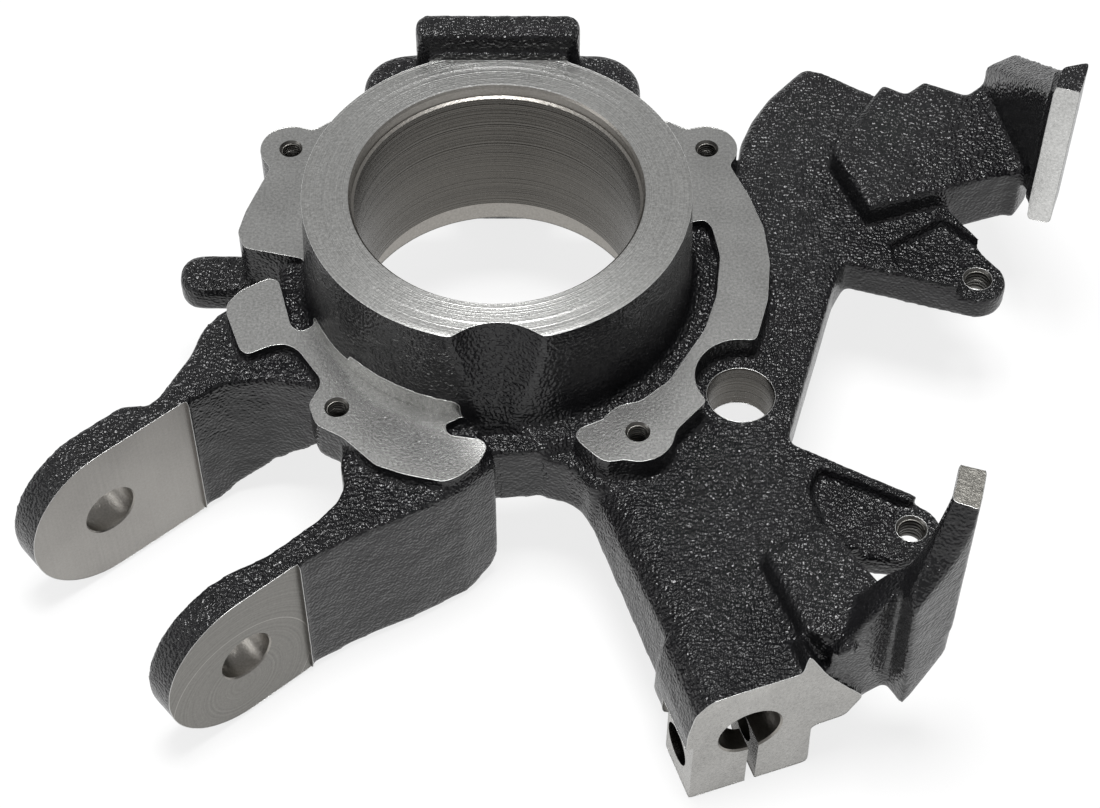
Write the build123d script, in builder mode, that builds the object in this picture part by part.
"""Cast steering knuckle with a seat for a pressed in wheel bearing.

One iron casting, painted, then milled, bored and tapped.
Frame: millimetres, +Z along the hub axis away from the car's middle.
The origin is on the hub axis in the milled plane that carries the splash shield.
"""
from build123d import *
import os
from math import cos, sin, radians

os.makedirs("parts", exist_ok=True)

# hub boss
BORE_R = 41.0
LEAD_R = 41.8
LEAD_DEEP = 3.8
SEAT_END_Z = -17.3
RELIEF_R = 43.6
BACK_R = 44.9
BOSS_TOP_Z = 32.5
BOSS_TOP_R = 55.7
BOSS_FOOT_R = 57.4
BODY_BOTTOM_Z = -28.0
CHANNEL_Z = -4.0
LEDGE_W = 7.6
LEDGE_ROUND = 2.0
FOOT_ROUND = 3.0
BODY_R = BOSS_FOOT_R + LEDGE_W
OVERLAP = 3.0
FLUTE_R = 18.0
FLUTE_DEPTH = 6.4
FLUTE_LEAN_DEG = 13.2

# shield flange: an interrupted ring of milled pads
PAD_OUT_R = 80.0
PAD_DEPTH = 14.0
LUG_R = 9.4
SHIELD_HOLES = [(-64.4, 47.4), (63.2, 48.0), (-44.8, -53.1), (39.9, -61.5)]
SHIELD_CLEAR_R = 57.3
STEP_HIGH = 5.5
SHIELD_HOLE_R = 2.5
SINK = 0.9

# side plate and its through bore
PLATE_TOP_Z = -8.5
PLATE_THICK = 15.6
SHOULDER_CUT = 2.0
THROUGH_AT = (70.2, -41.6)
THROUGH_D = 19.0
THROUGH_CLEAR_R = 13.8

# caliper carrier, laid out along a line at this angle through the hub
CALIPER_DEG = -16.9
RAIL_FACE_V = 70.2
RAIL_U = (145.4, 152.5)
RAIL_TOP_Z = 49.5
RAIL_BOTTOM_Z = -6.0
RAISED_TOP_Z = 0.5
RAISED_BOTTOM_Z = -17.5
UPPER_BOTTOM_Z = -21.0
EAR_HOLE = (135.7, 48.0)
EAR_HOLE_R = 3.4
EAR_TIP_R = 8.6
EAR_FLOOR_Z = -12.8
EAR_BOTTOM_Z = -21.5

# ball joint clamp at the end of the leg
CLAMP_DEG = 19.6
CLAMP_AT = (69.7, -140.0, -30.5)
CLAMP_BORE_D = 18.0
CLAMP_BORE_DEEP = 40.0
CLAMP_HALF_W = 16.6
CLAMP_BOTTOM_Z = -57.0
CLAMP_LONG = 17.5
SLIT_W = 3.0
BOLT_D = 12.6
BOLT_TAP_D = 10.4
BOLT_Z = -44.5
BOLT_BACK = 10.5

# clevis of two long ears
CLEVIS_DEG = -49.1
CLEVIS_IN = (-111.0, -67.5, -30.0)
CLEVIS_OUT = (-68.1, -116.9, -30.0)
EAR_R = 26.0
EAR_THICK = 11.0
EAR_HOLE_D = 16.0
NECK_THICK = 6.5


def caliper(z):
    """Plane across the hub axis whose x runs out along the caliper's middle line."""
    a = radians(CALIPER_DEG)
    return Plane(origin=(0, 0, z), x_dir=(cos(a), sin(a), 0), z_dir=(0, 0, 1))


def clamp_plane(back=0.0):
    """Plane of the clamp's end face, moved back into the leg; x across, y up."""
    a = radians(CLAMP_DEG)
    out = (sin(a), -cos(a), 0)
    at = [CLAMP_AT[i] - back * out[i] for i in range(3)]
    return Plane(origin=at, x_dir=(cos(a), sin(a), 0), z_dir=out)


def clevis_plane(at, out=0.0):
    """Plane of an ear's milled face; x runs back to the root, y is up."""
    a = radians(CLEVIS_DEG)
    n = (cos(a), sin(a), 0)
    origin = [at[i] + out * n[i] for i in range(3)]
    return Plane(origin=origin, x_dir=(-sin(a), cos(a), 0), z_dir=n)


def clevis_plan(at, z):
    """Flat plane over an ear: x runs back to the root, y points away from it."""
    a = radians(CLEVIS_DEG)
    return Plane(origin=(at[0], at[1], z), x_dir=(-sin(a), cos(a), 0), z_dir=(0, 0, 1))


def sector(r_in, r_out, start, end):
    """A piece of a flat ring between two angles, added to the sketch."""
    outer = Edge.make_circle(r_out, start_angle=start, end_angle=end)
    inner = Edge.make_circle(r_in, start_angle=start, end_angle=end)
    ends = [Edge.make_line(outer @ t, inner @ t) for t in (0, 1)]
    add(Face(Wire([outer, ends[1], inner, ends[0]])))


# hub boss and the ring under it
with BuildPart() as boss:
    with BuildSketch(Plane.XY.offset(BODY_BOTTOM_Z)):
        Circle(BODY_R)
    extrude(amount=CHANNEL_Z - BODY_BOTTOM_Z)
    chamfer(boss.faces().sort_by(Axis.Z)[-1].edges(), LEDGE_ROUND)
    with BuildSketch(Plane.XY.offset(CHANNEL_Z)):
        Circle(BOSS_FOOT_R)
    with BuildSketch(Plane.XY.offset(BOSS_TOP_Z)):
        Circle(BOSS_TOP_R)
    loft()
    foot = boss.edges().filter_by(GeomType.CIRCLE).filter_by(
        lambda e: abs(e.radius - BOSS_FOOT_R) < 0.1)
    fillet(foot, FOOT_ROUND)
    # a leaning flute in the front of the wall
    lean = radians(FLUTE_LEAN_DEG)
    flute = Plane(origin=(1.0, FLUTE_DEPTH - BOSS_TOP_R - FLUTE_R, BOSS_TOP_Z),
                  x_dir=(1, 0, 0), z_dir=(0, sin(lean), cos(lean)))
    with BuildSketch(flute):
        Circle(FLUTE_R)
    extrude(amount=36, both=True, mode=Mode.SUBTRACT)

# milled pads of the shield flange, seen from above; the inner points lie inside the boss
PAD_1 = [(-36, 58), (-52.3, 59.6), (-56.6, 55.9), (-64, 54), (-71.2, 36), (-76.2, 21.5), (-78, 12.6),
         (-75.6, 6.7), (-57.8, 2.6), (-50, 2.6), (-50, 20), (-36, 40)]
PAD_2 = [(36, 58), (51, 59.8), (56.9, 56.3), (64, 54), (69.8, 41), (75.1, 28.5), (79, 15.3),
         (80.1, 1.5), (78.8, -12.8), (75.3, -25.9), (70, -41), (60.1, -49.9), (51.4, -59.9),
         (47, -66), (35.2, -71.3), (31.2, -72.2), (28.6, -70.6), (23.3, -65), (22.1, -62.2),
         (24.2, -60), (31.8, -56.6), (40, -51.4), (49.2, -43.3), (53.5, -35.7), (60, -24.4),
         (64, -11.2), (65.6, 4), (63.7, 15.2), (61.6, 18.7), (58.7, 17.8), (52, 16), (40, 37)]
PAD_3 = [(-79, -15.1), (-75.3, -9.9), (-67.3, -5), (-64.5, -6), (-59.7, -23.8), (-56.4, -25.8),
         (-52.1, -22.3), (-46, -26), (-34, -41), (-12, -52), (-12, -56.1), (-14.4, -59.4),
         (-13.2, -63), (-3.8, -64.4), (-2, -66.9), (-4.2, -72.2), (-9.7, -77.1), (-13.9, -79.1),
         (-24.9, -76.5), (-33, -73.4), (-42.5, -63.8), (-50.2, -59.5), (-52.9, -52.3),
         (-49.9, -45.7), (-50, -42.7), (-57.1, -32.2), (-60.8, -30), (-65.4, -30.7),
         (-71.6, -34.2), (-73.8, -32.3), (-78.7, -18.6)]
with BuildPart() as pads:
    with BuildSketch(Plane.XY):
        for outline in (PAD_1, PAD_2, PAD_3):
            Polygon(*outline, align=None)
        with Locations(SHIELD_HOLES[0], SHIELD_HOLES[1]):
            Circle(LUG_R)
        with Locations(SHIELD_HOLES[3]):
            Circle(LUG_R + 1.0)
        with Locations(THROUGH_AT):
            Circle(THROUGH_CLEAR_R, mode=Mode.SUBTRACT)
    extrude(amount=-PAD_DEPTH)
    with BuildSketch(Plane.XY.offset(-PAD_DEPTH + 1)):
        sector(BOSS_FOOT_R - OVERLAP, PAD_OUT_R - 3, 136, 175)
        sector(BOSS_FOOT_R - OVERLAP, PAD_OUT_R - 2, 189, 204)
    extrude(amount=BODY_BOTTOM_Z + PAD_DEPTH - 1)
    # milled step at the foot of the boss
    with BuildSketch(Plane.XY):
        sector(BOSS_FOOT_R - 8, SHIELD_CLEAR_R, 224, 259)
    extrude(amount=STEP_HIGH)

# side plate
PLATE = [(40, 30), (72, 42), (73.5, 52), (74.6, 60), (78.5, 70), (84.5, 80), (95.5, 92.5), (102, 90.5), (128, 74),
         (112, 26), (100.4, 2.5), (83.5, -55.5), (92, -90), (82, -120), (50, -110), (34, -70)]
ARCH = [(8, -58), (14, -65.0), (20, -66.5), (24, -69.5), (27, -75), (46, -72), (46, -50)]
with BuildPart() as plate:
    with BuildSketch(Plane.XY.offset(PLATE_TOP_Z - PLATE_THICK)):
        Polygon(*PLATE, align=None)
    extrude(amount=PLATE_THICK)
    shoulder = plate.faces().sort_by(Axis.Z)[-1].edges().filter_by(
        lambda e: e.center().Y > 60 and e.center().X < 92)
    chamfer(shoulder, SHOULDER_CUT)
    with BuildSketch(Plane.XY.offset(BODY_BOTTOM_Z)):
        Polygon(*ARCH, align=None)
    extrude(amount=PLATE_TOP_Z - BODY_BOTTOM_Z)

# raised blocks and the rails the pads slide on
UPPER = [(83.2, 75.3), (99.5, 54.8), (137.7, 82.5), (141.0, 83.0), (143.5, 92.0), (130.4, 122.0),
         (121.9, 116.8), (118.0, 111.0), (104.0, 113.0), (100.0, 106.0), (92.0, 108.0)]
LOWER = [(99.1, -75.7), (110.5, -63.0), (114.5, -62.3), (133.5, -78.0), (137.0, -84.0),
         (133.0, -91.0), (122.0, -98.5), (117.0, -97.9)]
TIP = [(RAIL_U[0], RAIL_FACE_V), (RAIL_U[1], RAIL_FACE_V), (RAIL_U[1] + 0.6, 83.3), (146.1, 78.9)]
STRIP = [(143.5, 71.4), (RAIL_U[0] + 1, 71.4), (RAIL_U[0] + 1, 80.0), (143.5, 80.0)]
with BuildPart() as arms:
    for low, outline in ((UPPER_BOTTOM_Z, UPPER), (RAISED_BOTTOM_Z, LOWER)):
        with BuildSketch(caliper(low)):
            Polygon(*outline, align=None)
        extrude(amount=RAISED_TOP_Z - low)
    tops = arms.faces().filter_by(Plane.XY).group_by(Axis.Z)[-1]
    fillet(tops.edges(), 1.5)
with BuildPart() as rails:
    for side, strip_top in ((1, RAIL_TOP_Z - 1.5), (-1, 28.0)):
        with BuildSketch(caliper(RAIL_BOTTOM_Z)):
            Polygon(*[(u, side * v) for u, v in TIP], align=None)
        extrude(amount=RAIL_TOP_Z - RAIL_BOTTOM_Z)
        with BuildSketch(caliper(-0.3)):
            Polygon(*[(u, side * v) for u, v in STRIP], align=None)
        extrude(amount=strip_top + 0.3)

# the wall that braces the upper rail falls away along this bearing
UPPER_WALL = [(145.5, 76.5), (RAIL_U[1], 76.5), (RAIL_U[1] + 0.6, 83.3), (130.4, 122.0),
              (121.9, 116.8)]
WALL_BEARING = CALIPER_DEG + 121.6
WALL_START = (146.1, 78.9)
WALL_TOP_Z = 41.0
WALL_DROP = 0.735
WALL_TILT = 0.35
with BuildPart() as wall_up:
    with BuildSketch(caliper(RAIL_BOTTOM_Z)):
        Polygon(*UPPER_WALL, align=None)
    extrude(amount=RAIL_TOP_Z - RAIL_BOTTOM_Z)
    turn = radians(WALL_BEARING)
    along = Vector(cos(turn), sin(turn), -WALL_DROP)
    across = Vector(sin(turn), -cos(turn), WALL_TILT)
    start = caliper(WALL_TOP_Z).from_local_coords(Vector(*WALL_START, 0))
    with BuildSketch(Plane(origin=start, x_dir=along, z_dir=along.cross(across) * -1)):
        Rectangle(200, 80)
    extrude(amount=60, mode=Mode.SUBTRACT)
    fillet(wall_up.edges().group_by(Axis.Z)[-1], 2.5)

# the wall that ties the lower rail to the clamp: low and high outline, then trimmed from two sides
LOWER_WALL = {
    -34.0: [(122.0, -84.0), (141.0, -78.0), (147.0, -77.0), (152.0, -77.0), (152.6, -82.0),
            (144.8, -92.5), (138.6, -86.5), (133.4, -92.5), (124.0, -98.0)],
    RAIL_TOP_Z: [(122.0, -86.0), (139.5, -82.0), (145.8, -78.0), (RAIL_U[1], -76.5),
                 (153.1, -83.3), (142.0, -100.5), (138.6, -92.0), (134.8, -97.0),
                 (124.0, -107.0)],
}
WALL_SIDE = [(110, -50), (110, -20), (122.4, -6), (128, 3), (131.3, 10), (134.8, 14), (138.6, 18),
             (141.3, 26), (143.8, 38), (145.8, RAIL_TOP_Z), (160, RAIL_TOP_Z), (160, -15),
             (152.5, -17.5), (147.0, -28.5), (144.0, -33.5), (134.0, -34), (128, -50)]
WALL_END = [(-70, RAIL_TOP_Z), (-82, RAIL_TOP_Z), (-88, 32), (-97, 21), (-120, 18), (-120, -50),
            (-70, -50)]
with BuildPart() as wall_low:
    for z, outline in LOWER_WALL.items():
        with BuildSketch(caliper(z)):
            Polygon(*outline, align=None)
    loft(ruled=True)
    a = radians(CALIPER_DEG)
    with BuildSketch(Plane(origin=(0, 0, 0), x_dir=(cos(a), sin(a), 0), z_dir=(sin(a), -cos(a), 0))):
        Polygon(*WALL_SIDE, align=None)
    extrude(amount=150, mode=Mode.INTERSECT)
    with BuildSketch(Plane(origin=(0, 0, 0), x_dir=(-sin(a), cos(a), 0), z_dir=(cos(a), sin(a), 0))):
        Polygon(*WALL_END, align=None)
    extrude(amount=200, mode=Mode.INTERSECT)

# bracket ears with a shallow pocket behind a raised rim
UPPER_EAR = [(94.0, 39.5), (135.7, 39.4), (139.6, 55.6), (121.0, 70.5), (98.0, 60.0)]
LOWER_EAR = [(94.0, -31.5), (99.9, -32.0), (137.6, -39.6), (144.2, -49.0), (137.5, -59.0),
             (122.4, -61.5), (116.0, -64.0)]
UPPER_POCKET = [(108, 51), (112, 42.5), (130, 42), (134, 36), (150, 36), (150, 60), (133, 60),
                (121, 66)]
LOWER_POCKET = [(105, -47), (107, -37.5), (134, -42), (138, -34), (150, -34), (150, -66),
                (132, -66), (122, -59.5), (112, -57)]
with BuildPart() as ears:
    for side, root, pocket in ((1, UPPER_EAR, UPPER_POCKET), (-1, LOWER_EAR, LOWER_POCKET)):
        with BuildSketch(caliper(EAR_BOTTOM_Z)):
            with Locations((EAR_HOLE[0], side * EAR_HOLE[1])):
                Circle(EAR_TIP_R)
            Polygon(*root, align=None)
        extrude(amount=PLATE_TOP_Z - EAR_BOTTOM_Z)
        with BuildSketch(caliper(EAR_FLOOR_Z)):
            Polygon(*pocket, align=None)
        extrude(amount=10, mode=Mode.SUBTRACT)

# leg down to the ball joint clamp
with BuildPart() as leg:
    for back, left, low in ((0.0, -16.6, -37.0), (76.0, -18.4, -28.0)):
        with BuildSketch(clamp_plane(back)):
            bottom = low - CLAMP_AT[2]
            top = PLATE_TOP_Z - CLAMP_AT[2]
            Polygon((left, bottom), (18.0, bottom), (18.0, top), (left + 11.5, top),
                    (left + 6, top - 0.8), (left + 2, top - 4.5), align=None)
    loft()
with BuildPart() as clamp:
    top = PLATE_TOP_Z - CLAMP_AT[2]
    low = CLAMP_BOTTOM_Z - CLAMP_AT[2]
    with BuildSketch(clamp_plane()):
        with BuildLine():
            Polyline((-18.6, 2.0), (-CLAMP_HALF_W, 0.5), (-CLAMP_HALF_W, low), (19.0, low),
                     (18.4, -7.5), (28.5, -7.0), (33.0, 0.5), (24.0, 12.6), (19.6, 18.5),
                     (18.0, top), (-6.5, top), (-12.7, top - 0.6),
                     (-16.7, top - 5), (-18.6, 7.3), (-18.6, 2.0))
        make_face()
    extrude(amount=-CLAMP_LONG)
    with BuildSketch(clamp_plane()):
        with BuildLine():
            Polyline((-18.6, -6.5), (18.4, -6.5), (18.4, top), (-6.5, top), (-12.7, top - 0.6),
                     (-16.7, top - 5), (-18.6, 7.3), (-18.6, -6.5))
        make_face()
    extrude(amount=-25)
    with BuildSketch(clamp_plane()):
        Polygon((10, -7), (28.5, -7), (33, 0.5), (24, 12.6), (19.6, 18.5), (18, top), (8, top),
                align=None)
    extrude(amount=-24)
    # the raised block's flank runs out in the milled face as a spike
    with BuildSketch(clamp_plane()):
        Polygon((13.4, 20), (14.6, 30.5), (18.6, 22.4), (21, 17), align=None)
    extrude(amount=-9)
    with BuildSketch(clamp_plane()):
        Circle(CLAMP_BORE_D / 2 + 5.5)
    extrude(amount=-CLAMP_BORE_DEEP - 6)

# clevis arms: a plan view extruded, then trimmed to the ear's side view
INNER_PLAN = [(-26, 0), (30, 0), (42, -1.5), (52, -8), (60, -18), (66, -30), (80, -22), (76, 20),
              (56, 20.5), (49.7, 19), (46.7, 17.4), (43.7, 15.1), (40.8, 13.3), (35, 10.9),
              (29.3, 8.4), (24, NECK_THICK), (21, NECK_THICK), (18.5, 8.3), (15.5, EAR_THICK),
              (-26, EAR_THICK)]
INNER_SIDE = [(0, -26), (36, -26), (42, -23), (50, -16), (60, -4), (66, 6), (90, 6), (90, 26),
              (0, 26)]
OUTER_PLAN = [(-26, 0), (20, 0), (35, -2), (55, -7), (70, -9.5), (83, -9), (85, 0), (88, 20), (60, 28),
              (50, 20), (46, 13), (41.4, 10.1), (33.3, 8.5), (18, 8), (13, 8.4), (7.5, 9.8),
              (0, 10.4), (-26, 10.4)]
OUTER_SIDE = [(0, -26), (73, -26), (81, -22), (85, -12), (86, 2), (95, 2), (95, 26), (0, 26)]
with BuildPart() as arm_in:
    with BuildSketch(clevis_plan(CLEVIS_IN, CLEVIS_IN[2] - EAR_R)):
        Polygon(*INNER_PLAN, align=None)
    extrude(amount=2 * EAR_R)
    with BuildSketch(clevis_plane(CLEVIS_IN, -40)):
        Circle(EAR_R)
        Polygon(*INNER_SIDE, align=None)
    extrude(amount=80, mode=Mode.INTERSECT)
with BuildPart() as arm_out:
    with BuildSketch(clevis_plan(CLEVIS_OUT, CLEVIS_OUT[2] - EAR_R)):
        Polygon(*OUTER_PLAN, align=None)
    extrude(amount=2 * EAR_R)
    with BuildSketch(clevis_plane(CLEVIS_OUT, -40)):
        Circle(EAR_R)
        Polygon(*OUTER_SIDE, align=None)
    extrude(amount=80, mode=Mode.INTERSECT)

# post behind the hub, its low foot, and the small tab at the side
POST_TOP_Z = 25.5
CREST_TOP_Z = 41.7
FOOT_Z = -56.5
FOOT_Y = 78.0
FOOT_W = 42.0
TAB_TOP_Z = -16.0
TAB_TIP_R = 97.0
with BuildPart() as post:
    with BuildSketch(Plane.XY.offset(BODY_BOTTOM_Z)):
        with Locations((0.7, 47)):
            RectangleRounded(83, 34, 14)
    extrude(amount=POST_TOP_Z - BODY_BOTTOM_Z)
    fillet(post.edges().group_by(Axis.Z)[-1], 3)
    with BuildSketch(Plane.XY.offset(20)):
        with Locations((-0.5, 58.5)):
            RectangleRounded(49, 10, 4)
    extrude(amount=CREST_TOP_Z - 20)
    fillet(post.edges().group_by(Axis.Z)[-1], 1.5)
    # a sloping rib carries a rounded foot
    with BuildSketch(Plane.YZ.offset(-FOOT_W / 2 + 4)):
        Polygon((48, -28), (62, 0), (80, -24), (FOOT_Y, -30), (FOOT_Y, -44), (62, -38), align=None)
    extrude(amount=FOOT_W - 8)
    with BuildSketch(Plane.XY.offset(FOOT_Z)):
        with Locations((0, FOOT_Y)):
            RectangleRounded(FOOT_W, 20, 8)
    extrude(amount=-24 - FOOT_Z)
    chamfer(post.edges().group_by(Axis.Z)[0], 2)
with BuildPart() as tab:
    with BuildSketch(Plane.XY.offset(TAB_TOP_Z - 11)):
        with Locations((-(TAB_TIP_R + BODY_R - 6) / 2, 11.5)):
            RectangleRounded(TAB_TIP_R - BODY_R + 6, 15, 6.5)
    extrude(amount=11)
    fillet(tab.edges().group_by(Axis.Z)[-1], 2)
    chamfer(tab.edges().group_by(Axis.Z)[0], 2)

# the casting, then the machining
with BuildPart() as knuckle_casting:
    cast = (boss, pads, plate, arms, rails, wall_up, wall_low, ears, leg, clamp, arm_in, arm_out,
            post, tab)
    add([piece.part for piece in cast])
    # hub bore
    with BuildSketch(Plane.XZ):
        with BuildLine():
            Polyline((0, 60), (LEAD_R + 0.6, 60), (LEAD_R + 0.6, BOSS_TOP_Z),
                     (LEAD_R, BOSS_TOP_Z - 0.6), (LEAD_R, BOSS_TOP_Z - LEAD_DEEP),
                     (BORE_R, BOSS_TOP_Z - LEAD_DEEP - 0.5), (BORE_R, SEAT_END_Z),
                     (RELIEF_R, SEAT_END_Z), (RELIEF_R, SEAT_END_Z - 2), (BACK_R, SEAT_END_Z - 3.2),
                     (BACK_R, -60), (0, -60), (0, 60))
        make_face()
    revolve(axis=Axis.Z, mode=Mode.SUBTRACT)
    # shield holes, through bore
    with Locations(*[(x, y, 0) for x, y in SHIELD_HOLES]):
        CounterSinkHole(SHIELD_HOLE_R, SHIELD_HOLE_R + SINK, depth=PAD_DEPTH + 0.5)
    with Locations((THROUGH_AT[0], THROUGH_AT[1], 0)):
        Hole(THROUGH_D / 2, depth=40)
    # caliper ear holes
    with Locations(caliper(0)):
        with Locations((EAR_HOLE[0], EAR_HOLE[1], 0), (EAR_HOLE[0], -EAR_HOLE[1], 0)):
            Hole(EAR_HOLE_R, depth=40)
    with Locations(caliper(EAR_FLOOR_Z)):
        with Locations((EAR_HOLE[0], EAR_HOLE[1], 0), (EAR_HOLE[0], -EAR_HOLE[1], 0)):
            CounterSinkHole(EAR_HOLE_R, EAR_HOLE_R + SINK, depth=20)
    # clamp: milled end face, bore, slit and cross bolt
    with BuildSketch(clamp_plane()):
        Polygon((-26, -40), (35, -40), (35, 10), (26, 32), (-26, 32), align=None)
    extrude(amount=30, mode=Mode.SUBTRACT)
    with BuildSketch(clamp_plane()):
        Circle(CLAMP_BORE_D / 2)
    extrude(amount=-CLAMP_BORE_DEEP, mode=Mode.SUBTRACT)
    with BuildSketch(clamp_plane(-1)):
        with Locations((1.5, -20)):
            Rectangle(SLIT_W, 40)
    extrude(amount=-CLAMP_LONG - 10, mode=Mode.SUBTRACT)
    a = radians(CLAMP_DEG)
    bolt = clamp_plane().from_local_coords(Vector(-30, BOLT_Z - CLAMP_AT[2], -BOLT_BACK))
    with BuildSketch(Plane(origin=bolt, x_dir=(0, 0, 1), z_dir=(cos(a), sin(a), 0))):
        Circle(BOLT_D / 2)
    extrude(amount=31, mode=Mode.SUBTRACT)
    with BuildSketch(Plane(origin=bolt, x_dir=(0, 0, 1), z_dir=(cos(a), sin(a), 0))):
        Circle(BOLT_TAP_D / 2)
    extrude(amount=56, mode=Mode.SUBTRACT)
    # clevis holes
    with BuildSketch(clevis_plane(CLEVIS_IN, 5)):
        Circle(EAR_HOLE_D / 2)
    extrude(amount=-30, mode=Mode.SUBTRACT)
    with BuildSketch(clevis_plane(CLEVIS_OUT, 5)):
        Circle(EAR_HOLE_D / 2)
    extrude(amount=-30, mode=Mode.SUBTRACT)

knuckle_casting.part.label = "knuckle_casting"
export_step(knuckle_casting.part, "parts/knuckle_casting.step")
